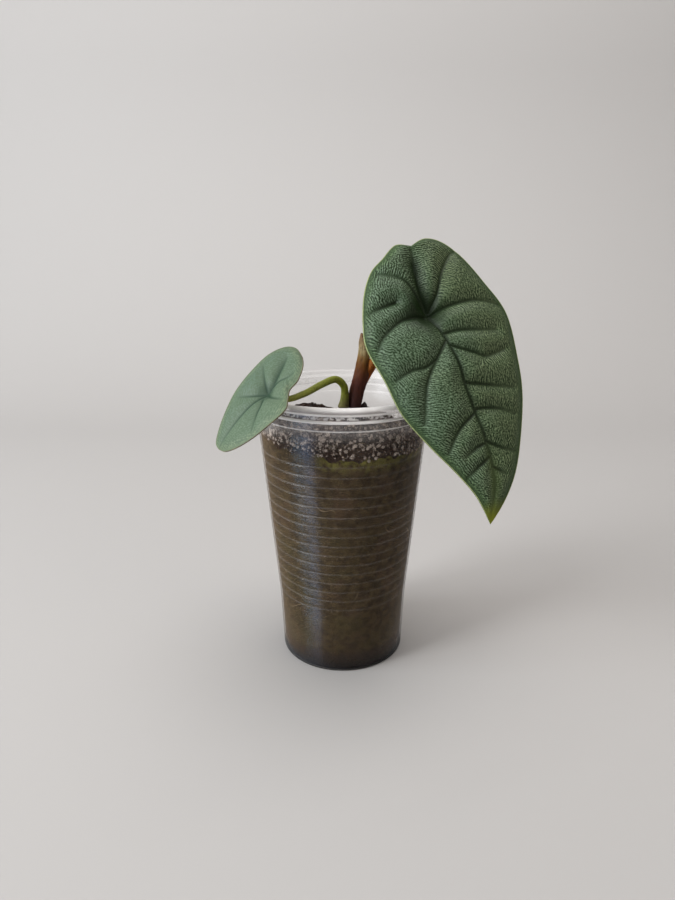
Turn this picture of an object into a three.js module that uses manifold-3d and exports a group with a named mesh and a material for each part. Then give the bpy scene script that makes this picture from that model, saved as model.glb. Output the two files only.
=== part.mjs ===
// A young alocasia with two peltate leaves, growing in a clear ribbed drinking cup.
// Millimetres, +Z up. The origin is the centre of the cup's flat underside, and the
// large leaf hangs towards the front right (+X, -Y).

import * as THREE from 'three';
import { mergeVertices } from 'three/addons/utils/BufferGeometryUtils.js';
import Module from 'manifold-3d';

const wasm = await Module();
wasm.setup();

// Driving dimensions

const cupSides = 36;
const fitGap = 0.3; // between pieces that touch

const cup = {
  height: 118,
  wall: 0.7,
  floor: 1,
  baseRadius: 26.7,
  heelRadius: 1.3,
  footHeight: 26, // the plain band below the ribs
  coneRadius: 25.34, // the ribbed wall, carried down to z = 0
  coneSlope: 0.0947, // radius gained for each millimetre of height
  ledgeHeight: 108.2,
  ledgeStep: 0.7,
  ledgeRise: 0.5,
  beadHeight: 112.3,
  beadDepth: 0.5,
  beadHalfWidth: 0.6,
  collarFlare: 0.3, // radius gained from the ledge to the lip
  lipRadius: 39,
  lipRoll: 1.35,
};

const ribs = {
  first: 30,
  last: 93.9,
  count: 16,
  depth: 0.45,
  halfWidth: 0.7,
};

const soil = {
  wallLevel: 98.6, // mean height where it meets the cup
  slope: 3.4, // the soil is this much higher at its high side
  highSide: THREE.MathUtils.degToRad(140),
  mound: 8.5, // heaped up round the corm
  moundRadius: 12,
  rings: 11,
  waves: [ // lumps of the loose surface
    { height: 0.45, length: 7.6, heading: THREE.MathUtils.degToRad(42), phase: 0.7 },
    { height: 0.45, length: 7.6, heading: THREE.MathUtils.degToRad(-42), phase: 1.5 },
    { height: 0.63, length: 11.2, heading: THREE.MathUtils.degToRad(-57), phase: 2 },
    { height: 0.45, length: 4.6, heading: THREE.MathUtils.degToRad(41), phase: 1.57 },
  ],
};

const corm = {
  x: 4.2,
  y: 0.2,
  radius: 6.4,
  top: 108.4,
  depth: 21,
};

const petioleRows = 26;
const petioleFootShare = 0.16; // the share of its length over which the foot flares

const largePetiole = {
  route: [
    [5.4, 0.4, 108.8],
    [5.7, 0.3, 113],
    [7.7, -0.1, 118.8],
    [11.5, -2.2, 126.5],
    [17.4, -7.2, 137.2],
    [24.4, -14.6, 145.4],
    [30.9, -22.7, 148.9],
  ],
  footRadius: 2.5,
  radius: 2.05,
  endRadius: 1.45,
  sides: 12,
};

const sheath = {
  route: [[5.3, 0.4, 108.8], [6.9, 0, 118], [8, 0.1, 126], [8.7, 0.5, 132], [8.3, 0.8, 139.5]],
  footRadius: 3, // clear of the petiole that it wraps
  tipRadius: 0.5,
  wall: 0.7,
  footWrap: THREE.MathUtils.degToRad(250),
  middle: THREE.MathUtils.degToRad(172), // it opens away from this side
  wrapTaper: 3.5, // powers of its length: the sheath narrows late, to a pointed tip
  radiusTaper: 3,
  rows: 18,
  columns: 12,
};

const smallPetiole = {
  route: [
    [-0.2, -1.8, 108.8],
    [0.3, -2, 113.4],
    [-0.2, -3.4, 119],
    [-3.6, -6.4, 121.9],
    [-8.6, -12.6, 121.2],
    [-14.2, -21.4, 120],
    [-20.4, -31.4, 120],
    [-26.4, -35, 122],
  ],
  footRadius: 1.6,
  radius: 1.08,
  endRadius: 0.95,
  sides: 10,
};

// Both blades are laid out flat first: u runs across and v towards the tip, from the
// point where the petiole joins. A blade is then bent, quilted and set in place.

const veinSweep = 1.5; // rows of a blade run out towards its tip, as the side veins do
const veinDepth = { start: 0.95, end: 0.5 }; // shares of the quilt that a vein cuts away

const largeBlade = {
  hub: [31.86, -26, 150.43],
  facing: [0.2059, -0.8825, 0.4229],
  towardsTip: [0.3148, -0.3495, -0.8825],
  right: [
    [2.6, -27], [9.4, -29], [15.8, -26.2], [21.4, -18.7], [26.2, -7.2], [30.7, 6.5],
    [29, 24], [26.4, 37.3], [20.4, 53], [14.8, 64.3], [8, 72.6], [0, 79.4],
  ],
  left: [
    [2.6, -27], [-3, -28.8], [-9.6, -24.9], [-15.5, -21], [-20.8, -13.3], [-24.8, -3],
    [-26.4, 6], [-24, 19], [-21.8, 32], [-15.6, 45.4], [-8.6, 57.6], [-3.3, 68], [0, 79.4],
  ],
  midrib: [[2.6, -27], [0, -18], [0, 0], [2.2, 10], [3.5, 20], [3.4, 32], [5.2, 49], [5.2, 62], [0, 79.4]],
  veins: [
    [[0, 0], [0, -14], [1.6, -25]],
    [[0.8, -1], [4.9, -6], [9.3, -13.4], [15.3, -19.5], [19, -21.4]],
    [[-0.5, -1], [-2, -8.2], [-5.6, -15], [-13.5, -19.3]],
    [[-1.4, 0.4], [-6.9, -0.3], [-12.3, 0.1], [-19.6, 4], [-23, 8]],
    [[-11, -7.4], [-16, -6.8], [-21, -6]],
    [[1, 0.3], [8.7, -1.2], [19.5, -0.7], [28.6, 3.1]],
    [[2, 8.6], [9, 8.8], [22.8, 12.1]],
    [[2.8, 13.2], [10.8, 17.9], [15.7, 20.5], [24, 19.7]],
    [[3.4, 27.7], [12.8, 30.9], [22.7, 34.2]],
    [[3.6, 39.2], [5.9, 38], [14.1, 40.1], [20, 43.5]],
    [[5.2, 49.8], [11.4, 54], [16, 56.4]],
    [[5.5, 59.5], [10, 63.1]],
    [[2.4, 10.8], [-3.7, 16.6], [-10.6, 25], [-15.2, 37.6]],
    [[-3.8, 16.8], [-8.5, 18.5], [-14, 18.3], [-20.2, 20.1]],
    [[3.6, 39.2], [-4, 43.4], [-9.6, 50]],
    [[5.2, 50.6], [1, 51.1], [-3.5, 53]],
    [[5.4, 55.8], [0, 57.8], [-5.2, 60.6]],
  ],
  thickness: 0.9,
  rows: 50,
  columns: 26,
  sideFall: 0.2, // slope of each half, down from the midrib
  foldWidth: 8,
  archRadius: 190,
  archCentre: 12,
  quilt: 1.7, // height of the cushions between veins
  veinWidth: 3,
  hubDip: 2.6,
  hubRadius: 7.5,
};

const smallBlade = {
  hub: [-27.45, -36, 123.05],
  facing: [-0.5436, -0.5232, 0.6563],
  towardsTip: [-0.6865, -0.1728, -0.7063],
  right: [
    [-1.5, -18.4], [2, -16.8], [5.4, -14.2], [8.3, -10.8], [9.2, -7], [12.6, -4.4], [16.4, -1],
    [15.4, 7], [13.4, 13.4], [9.6, 19.8], [4.6, 24.8], [0, 26.6],
  ],
  left: [
    [-1.5, -18.4], [-7.4, -19.3], [-12, -16.8], [-14.7, -10.8], [-14.6, -3], [-13.2, 7],
    [-10.2, 15], [-6.6, 22], [-3.4, 26], [0, 26.6],
  ],
  midrib: [[-1.5, -18.4], [-1.2, -8], [0, 0], [-0.8, 5.2], [-1, 15], [0, 26.6]],
  veins: [
    [[0, 0], [-1.2, -5.2], [-3.1, -9.2], [-6.1, -14.4]],
    [[-0.3, -3.6], [0.6, -6.4], [2.8, -9.4], [3.4, -12]],
    [[0, 0], [-4, 4.3], [-8.5, 7.9]],
    [[0, 0], [-6.7, -3.6], [-11, -6]],
    [[0, 0], [5, -0.6], [11, -3]],
    [[1, 2.6], [3.6, 4.5], [5.7, 7.2], [10.2, 12.1]],
    [[-1, 10], [4, 15.5]],
    [[-1, 9], [-5.5, 14]],
  ],
  thickness: 0.8,
  rows: 26,
  columns: 16,
  sideFall: -0.1, // this blade is slightly cupped
  foldWidth: 4,
  archRadius: 120,
  archCentre: 5,
  quilt: 0.6,
  veinWidth: 2,
  hubDip: 0.9,
  hubRadius: 4,
};

// General helpers

const toVector = ([x, y, z]) => new THREE.Vector3(x, y, z);
const toFlat = ([u, v]) => new THREE.Vector2(u, v);

// Only positions are kept, shared vertices are merged, and triangles that fell
// together at a tip or a pole are dropped.
function welded(geometry) {
  geometry.deleteAttribute('normal');
  geometry.deleteAttribute('uv');
  const merged = mergeVertices(geometry, 1e-4);
  const index = merged.index.array;
  const kept = [];
  for (let i = 0; i < index.length; i += 3) {
    const [a, b, c] = index.slice(i, i + 3);
    if (a !== b && b !== c && c !== a) kept.push(a, b, c);
  }
  merged.setIndex(kept);
  return merged;
}

function toManifold(geometry) {
  return new wasm.Manifold(new wasm.Mesh({
    numProp: 3,
    vertProperties: new Float32Array(geometry.attributes.position.array),
    triVerts: new Uint32Array(geometry.index.array),
  }));
}

function toGeometry(solid) {
  const mesh = solid.getMesh();
  const geometry = new THREE.BufferGeometry();
  geometry.setAttribute('position', new THREE.BufferAttribute(mesh.vertProperties, 3));
  geometry.setIndex(new THREE.BufferAttribute(mesh.triVerts, 1));
  return geometry;
}

// A profile of [radius, height] pairs turned about the vertical axis.
function turned(profile, sides) {
  const geometry = new THREE.LatheGeometry(profile.map(toFlat), sides);
  geometry.rotateX(Math.PI / 2);
  return welded(geometry);
}

// A round stalk of changing radius along a curved route, closed at both ends.
function stalk(route, radiusAt, sides, rows) {
  const curve = new THREE.CatmullRomCurve3(route.map(toVector));
  const frames = curve.computeFrenetFrames(rows);
  const profile = [[0, 0]];
  for (let row = 0; row <= rows; row += 1) profile.push([radiusAt(row / rows), row]);
  profile.push([0, rows]);
  const geometry = new THREE.LatheGeometry(profile.map(toFlat), sides);
  const position = geometry.attributes.position;
  for (let i = 0; i < position.count; i += 1) {
    const row = Math.round(position.getY(i));
    const point = curve.getPointAt(row / rows);
    point.addScaledVector(frames.normals[row], position.getX(i));
    point.addScaledVector(frames.binormals[row], -position.getZ(i));
    position.setXYZ(i, point.x, point.y, point.z);
  }
  return welded(geometry);
}

// A thin sheet with the same triangles on both faces. Each place in its grid gives
// the upper and the lower point, and rows may close to a point at either end.
function sheet(rows, columns, placeAt) {
  const points = [];
  for (let row = 0; row <= rows; row += 1) {
    for (let column = 0; column <= columns; column += 1) {
      points.push(...placeAt(row / rows, column / columns));
    }
  }
  const upper = (row, column) => 2 * (row * (columns + 1) + column);
  const lower = (row, column) => upper(row, column) + 1;
  const index = [];
  const quad = (a, b, c, d) => index.push(a, b, c, a, c, d);
  for (let row = 0; row < rows; row += 1) {
    for (let column = 0; column < columns; column += 1) {
      quad(upper(row, column), upper(row + 1, column), upper(row + 1, column + 1), upper(row, column + 1));
      index.push(lower(row, column), lower(row + 1, column + 1), lower(row + 1, column));
      index.push(lower(row, column), lower(row, column + 1), lower(row + 1, column + 1));
    }
    quad(lower(row, 0), lower(row + 1, 0), upper(row + 1, 0), upper(row, 0));
    quad(upper(row, columns), upper(row + 1, columns), lower(row + 1, columns), lower(row, columns));
  }
  for (let column = 0; column < columns; column += 1) {
    quad(lower(0, column + 1), lower(0, column), upper(0, column), upper(0, column + 1));
    quad(lower(rows, column), lower(rows, column + 1), upper(rows, column + 1), upper(rows, column));
  }
  const geometry = new THREE.BufferGeometry().setFromPoints(points);
  geometry.setIndex(index);
  return welded(geometry);
}

// Cup

const wallRadius = (z) => cup.coneRadius + cup.coneSlope * Math.max(z, cup.footHeight);
const innerRadius = (z) => wallRadius(z) - cup.wall;
const fitInside = (radius) => radius - fitGap;

function footProfile() {
  const steps = 3;
  const profile = [[0, 0]];
  for (let step = 0; step <= steps; step += 1) {
    const angle = (step / steps) * (Math.PI / 2);
    profile.push([
      cup.baseRadius - cup.heelRadius * (1 - Math.sin(angle)),
      cup.heelRadius * (1 - Math.cos(angle)),
    ]);
  }
  profile.push([wallRadius(0), cup.footHeight]);
  return profile;
}

function ribProfile() {
  const pitch = (ribs.last - ribs.first) / (ribs.count - 1);
  const profile = [];
  for (let rib = 0; rib < ribs.count; rib += 1) {
    const z = ribs.first + rib * pitch;
    profile.push([wallRadius(z - ribs.halfWidth), z - ribs.halfWidth]);
    profile.push([wallRadius(z) - ribs.depth, z]);
    profile.push([wallRadius(z + ribs.halfWidth), z + ribs.halfWidth]);
  }
  return profile;
}

function collarProfile() {
  const ledge = wallRadius(cup.ledgeHeight);
  const foot = ledge + cup.ledgeStep;
  const middle = foot + cup.collarFlare / 2;
  return [
    [ledge, cup.ledgeHeight],
    [foot, cup.ledgeHeight + cup.ledgeRise],
    [middle, cup.beadHeight - cup.beadHalfWidth],
    [middle + cup.beadDepth, cup.beadHeight],
    [middle, cup.beadHeight + cup.beadHalfWidth],
    [foot + cup.collarFlare, cup.height - 2 * cup.lipRoll],
  ];
}

function lipProfile() {
  const centre = [cup.lipRadius - cup.lipRoll, cup.height - cup.lipRoll];
  const steps = 5;
  const start = THREE.MathUtils.degToRad(-70);
  const turn = THREE.MathUtils.degToRad(250);
  const profile = [];
  for (let step = 0; step <= steps; step += 1) {
    const angle = start + (step / steps) * turn;
    profile.push([centre[0] + cup.lipRoll * Math.cos(angle), centre[1] + cup.lipRoll * Math.sin(angle)]);
  }
  return profile;
}

function insideProfile() {
  const collar = innerRadius(cup.ledgeHeight) + cup.ledgeStep;
  const kneeHeight = cup.heelRadius + cup.floor;
  return [
    [collar + cup.collarFlare, cup.height - 2 * cup.lipRoll],
    [collar, cup.ledgeHeight + cup.ledgeRise],
    [innerRadius(cup.ledgeHeight), cup.ledgeHeight],
    [innerRadius(cup.footHeight), cup.footHeight],
    [cup.baseRadius - cup.wall, kneeHeight],
    [cup.baseRadius - cup.wall - cup.heelRadius, cup.floor],
    [0, cup.floor],
  ];
}

function cupGeometry() {
  return turned(
    [...footProfile(), ...ribProfile(), ...collarProfile(), ...lipProfile(), ...insideProfile()],
    cupSides,
  );
}

// Soil

const soilEdge = (angle) => soil.wallLevel + soil.slope * Math.cos(angle - soil.highSide);

function soilHeight(x, y) {
  const angle = Math.atan2(y, x);
  const reach = Math.min(Math.hypot(x, y) / innerRadius(soil.wallLevel), 1);
  const fromCorm = Math.hypot(x - corm.x, y - corm.y) / soil.moundRadius;
  let height = soil.wallLevel
    + reach * (soilEdge(angle) - soil.wallLevel)
    + soil.mound * Math.exp(-fromCorm * fromCorm);
  for (const wave of soil.waves) {
    const distance = x * Math.cos(wave.heading) + y * Math.sin(wave.heading);
    height += wave.height * Math.sin((2 * Math.PI * distance) / wave.length + wave.phase);
  }
  return height;
}

// The sides of the soil keep a small gap to the cup, and its top is the heaped surface.
function soilGeometry() {
  const kneeHeight = cup.floor + cup.heelRadius + fitGap;
  const sideRadius = (z) => fitInside(z < cup.footHeight ? cup.baseRadius - cup.wall : innerRadius(z));
  const sideHeights = (edge) => [kneeHeight, cup.footHeight, (cup.footHeight + edge) / 2, edge];
  const steps = sideHeights(0).length;
  // A turned unit shape: the radius is a share of the full one, the height counts steps.
  const profile = [[0, 0]];
  for (let step = 0; step <= steps; step += 1) profile.push([1, step]);
  for (let ring = soil.rings - 1; ring >= 0; ring -= 1) profile.push([ring / soil.rings, steps]);
  const geometry = new THREE.LatheGeometry(profile.map(toFlat), cupSides);
  geometry.rotateX(Math.PI / 2);
  const position = geometry.attributes.position;
  for (let i = 0; i < position.count; i += 1) {
    const angle = Math.atan2(position.getY(i), position.getX(i));
    const share = Math.hypot(position.getX(i), position.getY(i));
    const step = Math.round(position.getZ(i));
    const edgeRadius = fitInside(innerRadius(soilEdge(angle)));
    const heightAt = (radius) => soilHeight(radius * Math.cos(angle), radius * Math.sin(angle));
    let radius = share * edgeRadius;
    let z = heightAt(radius);
    if (step === 0) {
      z = cup.floor + fitGap;
      radius = share * fitInside(cup.baseRadius - cup.wall - cup.heelRadius);
    } else if (share > 1 - 0.5 / soil.rings) { // the outermost ring stands against the wall
      z = sideHeights(heightAt(edgeRadius))[step - 1];
      radius = sideRadius(z);
    }
    position.setXYZ(i, radius * Math.cos(angle), radius * Math.sin(angle), z);
  }
  return toGeometry(toManifold(welded(geometry)).subtract(toManifold(cormHole())));
}

function cormHole() {
  const floor = corm.top - corm.depth - fitGap;
  const radius = corm.radius + fitGap;
  const hole = turned([[0, floor], [radius, floor], [radius, cup.height], [0, cup.height]], 24);
  return hole.translate(corm.x, corm.y, 0);
}

// Corm: the short buried stem, with the rings of old leaf scars near its top

function cormGeometry() {
  const { radius, top, depth } = corm;
  const geometry = turned([
    [0, top - depth],
    [radius * 0.55, top - depth + 0.8],
    [radius * 0.9, top - depth + 4.5],
    [radius, top - depth + 10],
    [radius * 0.98, top - 6],
    [radius * 0.9, top - 4.4],
    [radius * 0.97, top - 3.4],
    [radius * 0.87, top - 2],
    [radius * 0.93, top - 1.1],
    [radius * 0.84, top],
    [0, top],
  ], 24);
  geometry.translate(corm.x, corm.y, 0);
  return geometry;
}

// Petioles and the sheath round the foot of the large one

function petioleGeometry({ route, footRadius, radius, endRadius, sides }) {
  const radiusAt = (t) => THREE.MathUtils.lerp(radius, endRadius, t)
    + (footRadius - radius) * Math.max(0, 1 - t / petioleFootShare) ** 2;
  return stalk(route, radiusAt, sides, petioleRows);
}

function sheathGeometry() {
  const curve = new THREE.CatmullRomCurve3(sheath.route.map(toVector));
  return sheet(sheath.rows, sheath.columns, (t, across) => {
    const centre = curve.getPointAt(t);
    const wrap = sheath.footWrap * (1 - t ** sheath.wrapTaper);
    const angle = sheath.middle + (0.5 - across) * wrap;
    const outward = new THREE.Vector3(Math.cos(angle), Math.sin(angle), 0);
    const radius = THREE.MathUtils.lerp(sheath.footRadius, sheath.tipRadius, t ** sheath.radiusTaper);
    return [
      centre.clone().addScaledVector(outward, radius + sheath.wall),
      centre.clone().addScaledVector(outward, radius),
    ];
  });
}

// Blades

// How far a place lies from a vein, and how far along that vein, from 0 to 1.
function nearestOnVein(u, v, vein) {
  const place = new THREE.Vector2(u, v);
  let best = { distance: Infinity, along: 0 };
  for (let i = 0; i < vein.length - 1; i += 1) {
    const start = toFlat(vein[i]);
    const run = toFlat(vein[i + 1]).sub(start);
    const share = THREE.MathUtils.clamp(place.clone().sub(start).dot(run) / run.lengthSq(), 0, 1);
    const distance = place.distanceTo(start.addScaledVector(run, share));
    if (distance < best.distance) best = { distance, along: (i + share) / (vein.length - 1) };
  }
  return best;
}

// Cushions between sunken veins. A vein is deepest where it leaves the midrib.
function quiltHeight(blade, u, v) {
  let height = blade.quilt;
  for (const vein of [blade.midrib.slice(2), ...blade.veins]) {
    const { distance, along } = nearestOnVein(u, v, vein);
    const depth = THREE.MathUtils.lerp(veinDepth.start, veinDepth.end, along);
    height *= 1 - depth * Math.exp(-((distance / blade.veinWidth) ** 2));
  }
  return height;
}

function bladeHeight(blade, u, v, marginFade) {
  const { sideFall, foldWidth, archRadius, archCentre, hubDip, hubRadius } = blade;
  const fold = sideFall * (Math.hypot(u, foldWidth) - foldWidth);
  const arch = ((v - archCentre) ** 2 - archCentre ** 2) / (2 * archRadius);
  const dip = hubDip * Math.exp(-(u * u + v * v) / (2 * hubRadius * hubRadius));
  return quiltHeight(blade, u, v) * marginFade - fold - arch - dip;
}

function bladeGeometry(blade) {
  const margins = { left: new THREE.SplineCurve(blade.left.map(toFlat)) };
  margins.right = new THREE.SplineCurve(blade.right.map(toFlat));
  const midrib = new THREE.SplineCurve(blade.midrib.map(toFlat));
  const hub = toVector(blade.hub);
  const facing = toVector(blade.facing).normalize();
  const towardsTip = toVector(blade.towardsTip).normalize();
  const across = new THREE.Vector3().crossVectors(facing, towardsTip);
  return sheet(blade.rows, blade.columns, (t, share) => {
    const side = share < 0.5 ? margins.left : margins.right;
    const reach = Math.abs(2 * share - 1);
    const spine = midrib.getPointAt(t ** veinSweep);
    const { x: u, y: v } = spine.clone().lerp(side.getPointAt(t), reach);
    const edgeRoom = (1 - reach) * spine.distanceTo(side.getPointAt(t));
    const height = bladeHeight(blade, u, v, 1 - Math.exp(-((edgeRoom / blade.veinWidth) ** 2)));
    const point = hub.clone().addScaledVector(across, u).addScaledVector(towardsTip, v);
    return [
      point.clone().addScaledVector(facing, height + blade.thickness / 2),
      point.clone().addScaledVector(facing, height - blade.thickness / 2),
    ];
  });
}

// Materials

const finishes = {
  cup: { color: '#dfe0e2', roughness: 0.18, transparent: true, opacity: 0.35 },
  soil: { color: '#3a2e22', roughness: 0.95 },
  corm: { color: '#3a1f1e', roughness: 0.7 },
  stem: { color: '#6b3a22', roughness: 0.5 },
  sheath: { color: '#7d4a2a', roughness: 0.6 },
  youngStem: { color: '#6a6f2c', roughness: 0.5 },
  leaf: { color: '#2f5c40', roughness: 0.48 },
  youngLeaf: { color: '#7d9f84', roughness: 0.5 },
};

function piece(name, geometry, finish) {
  const material = new THREE.MeshStandardMaterial({ metalness: 0, ...finishes[finish] });
  const mesh = new THREE.Mesh(geometry, material);
  mesh.name = name;
  return mesh;
}

const pottedAlocasia = new THREE.Group();
pottedAlocasia.add(
  piece('cup', cupGeometry(), 'cup'),
  piece('soil', soilGeometry(), 'soil'),
  piece('corm', cormGeometry(), 'corm'),
  piece('petiole_large', petioleGeometry(largePetiole), 'stem'),
  piece('sheath', sheathGeometry(), 'sheath'),
  piece('petiole_small', petioleGeometry(smallPetiole), 'youngStem'),
  piece('blade_large', bladeGeometry(largeBlade), 'leaf'),
  piece('blade_small', bladeGeometry(smallBlade), 'youngLeaf'),
);

export default pottedAlocasia;
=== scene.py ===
import math
import random

import bmesh
import bpy
from mathutils import Matrix, Vector, kdtree, noise


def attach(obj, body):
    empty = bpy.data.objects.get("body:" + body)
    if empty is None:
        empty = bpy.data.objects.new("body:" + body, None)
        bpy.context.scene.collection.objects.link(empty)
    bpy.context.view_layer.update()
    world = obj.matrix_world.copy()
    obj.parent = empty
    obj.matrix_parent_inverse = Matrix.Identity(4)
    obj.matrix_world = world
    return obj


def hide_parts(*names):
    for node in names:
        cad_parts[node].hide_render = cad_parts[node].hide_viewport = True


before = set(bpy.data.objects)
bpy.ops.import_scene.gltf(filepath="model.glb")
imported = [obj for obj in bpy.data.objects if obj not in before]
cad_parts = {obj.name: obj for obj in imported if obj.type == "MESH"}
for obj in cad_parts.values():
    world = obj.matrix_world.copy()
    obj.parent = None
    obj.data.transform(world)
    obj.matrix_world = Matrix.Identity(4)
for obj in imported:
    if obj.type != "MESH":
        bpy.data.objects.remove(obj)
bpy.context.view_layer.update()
mm = 0.001
sameSpot = 0.002 * mm  # corners closer than this are merged

# camera and room

view = {
    "lens": 27.04,
    "back": 273.2,  # mm in front of the cup's axis
    "height": 176.3,
    "lookDown": 17.43,  # degrees
    "shift": -0.0057,
}

room = {
    "floorTint": (0.47, 0.448, 0.435),
    "size": 5,  # metres
    "wallDistance": 0.75,
    "bend": 0.4,  # radius where floor and wall meet
    "sky": (0.92, 0.96, 1),
    "skyStrength": 0.24,
    "lights": [  # name, place, size, power, tint, aim, and whether only glossy surfaces mirror it
        ("window", (-0.95, -0.56, 0.56), (0.33, 1.08), 13.5, (0.95, 0.98, 1), (0, 0, 0.5), False),
        ("sideWindow", (-1.08, -0.22, 0.56), (0.41, 1.08), 7, (0.9, 0.96, 1), (0, 0, 0.5), False),
        ("lowWindow", (-0.83, -0.72, -0.43), (0.3, 0.86), 3.6, (0.48, 0.66, 1), (0, 0, 0.05), True),
        ("lowSideWindow", (-1.01, -0.45, -0.43), (0.3, 0.86), 1.9, (0.42, 0.7, 1), (0, 0, 0.05), True),
        ("overhead", (0.1, 0.1, 1.3), (1.2, 1.0), 11, (1, 0.985, 0.96), (0, 0.3, 0), False),
        ("fill", (0.9, -0.5, 0.35), (0.7, 0.6), 1.3, (1, 0.84, 0.66), (0, 0, 0.08), False),
    ],
}


def show(thing):
    bpy.context.scene.collection.objects.link(thing)


def makeCamera():
    data = bpy.data.cameras.new("camera")
    data.lens = view["lens"]
    data.shift_x = view["shift"]
    data.clip_start = 0.01
    camera = bpy.data.objects.new("camera", data)
    camera.location = (0, -view["back"] * mm, view["height"] * mm)
    camera.rotation_euler = (math.radians(90 - view["lookDown"]), 0, 0)
    show(camera)
    bpy.context.scene.camera = camera


def makeLight(name, place, size, power, tint, aim, glossOnly):
    data = bpy.data.lights.new(name, "AREA")
    data.shape = "RECTANGLE"
    data.size, data.size_y = size
    data.energy = power
    data.color = tint
    light = bpy.data.objects.new(name, data)
    light.location = place
    light.rotation_euler = (Vector(aim) - light.location).to_track_quat("-Z", "Y").to_euler()
    light.visible_diffuse = not glossOnly
    show(light)


def makeRoom():
    world = bpy.data.worlds.new("daylight")
    world.use_nodes = True
    sky = world.node_tree.nodes["Background"]
    sky.inputs["Color"].default_value = (*room["sky"], 1)
    sky.inputs["Strength"].default_value = room["skyStrength"]
    bpy.context.scene.world = world
    bpy.context.scene.view_settings.view_transform = "Standard"
    for light in room["lights"]:
        makeLight(*light)
    # one sheet: a floor that bends up into a wall behind
    bm = bmesh.new()
    half = room["size"] / 2
    front = bm.verts.new((-half, -half, 0))
    foot = bm.verts.new((-half, room["wallDistance"] - room["bend"], 0))
    line = bm.edges.new((front, foot))
    centre = (-half, room["wallDistance"] - room["bend"], room["bend"])
    bmesh.ops.spin(bm, geom=[foot], cent=centre, axis=(1, 0, 0), angle=math.radians(90), steps=16)
    top = max(bm.verts, key=lambda v: (v.co.z, v.co.y))
    raised = bmesh.ops.extrude_vert_indiv(bm, verts=[top])["verts"]
    bmesh.ops.translate(bm, verts=raised, vec=(0, 0, half))
    strip = bmesh.ops.extrude_edge_only(bm, edges=bm.edges[:])["geom"]
    moved = [e for e in strip if isinstance(e, bmesh.types.BMVert)]
    bmesh.ops.translate(bm, verts=moved, vec=(room["size"], 0, 0))
    bmesh.ops.recalc_face_normals(bm, faces=bm.faces)
    mesh = bpy.data.meshes.new("studioSheet")
    bm.to_mesh(mesh)
    bm.free()
    mesh.shade_smooth()
    paper = newMaterial("studioPaper", 0.7, Base_Color=(*room["floorTint"], 1))[0]
    mesh.materials.append(paper)
    sheet = bpy.data.objects.new("studioSheet", mesh)
    show(sheet)
    sheet.visible_glossy = False  # glossy surfaces mirror the sky and the windows instead
    sheet.visible_shadow = False  # so the low panes reach them


# materials

def newMaterial(name, roughness, **plain):
    # plain values of the shader's sockets, whose names have a space for each underscore
    material = bpy.data.materials.new(name)
    material.use_nodes = True
    tree = material.node_tree
    shader = tree.nodes["Principled BSDF"]
    shader.inputs["Roughness"].default_value = roughness
    for socket, value in plain.items():
        shader.inputs[socket.replace("_", " ")].default_value = value
    return material, tree, shader


def addNode(tree, kind, inputs=None, **settings):
    node = tree.nodes.new(kind)
    for key, value in settings.items():
        setattr(node, key, value)
    for key, value in (inputs or {}).items():
        if isinstance(value, bpy.types.NodeSocket):
            tree.links.new(value, node.inputs[key])
        else:
            node.inputs[key].default_value = value
    return node


def feed(shader, socket, value):
    shader.id_data.links.new(value, shader.inputs[socket])


def mixColours(tree, factor, first, second, blend="MIX"):
    node = tree.nodes.new("ShaderNodeMix")
    node.data_type = "RGBA"
    node.blend_type = blend
    for index, value in ((0, factor), (6, first), (7, second)):
        if isinstance(value, bpy.types.NodeSocket):
            tree.links.new(value, node.inputs[index])
        elif index:
            node.inputs[index].default_value = (*value, 1)
        else:
            node.inputs[index].default_value = value
    return node.outputs[2]


def doMath(tree, operation, first, second, clamp=False):
    node = addNode(tree, "ShaderNodeMath", {0: first, 1: second}, operation=operation, use_clamp=clamp)
    return node.outputs[0]


def times(tree, first, second, clamp=False):
    return doMath(tree, "MULTIPLY", first, second, clamp)


def ramp(tree, value, low, high, start=0.0, end=1.0):
    # a smooth step from start to end while value goes from low to high
    node = addNode(tree, "ShaderNodeMapRange", {"Value": value, "From Min": low, "From Max": high},
                   interpolation_type="SMOOTHSTEP")
    node.inputs["To Min"].default_value = start
    node.inputs["To Max"].default_value = end
    return node.outputs[0]


def pattern(tree, vector, scale, detail=3.0, roughness=0.55):
    inputs = {"Vector": vector, "Scale": scale, "Detail": detail, "Roughness": roughness}
    return addNode(tree, "ShaderNodeTexNoise", inputs).outputs["Fac"]


def measure(tree, name):
    # a number kept at the piece's own points
    return addNode(tree, "ShaderNodeAttribute", attribute_name=name).outputs["Fac"]


def objectPlace(tree):
    return addNode(tree, "ShaderNodeTexCoord").outputs["Object"]


def bumpInto(tree, shader, height, distance, strength):
    node = addNode(tree, "ShaderNodeBump", {"Height": height, "Distance": distance, "Strength": strength})
    feed(shader, "Normal", node.outputs["Normal"])


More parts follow.
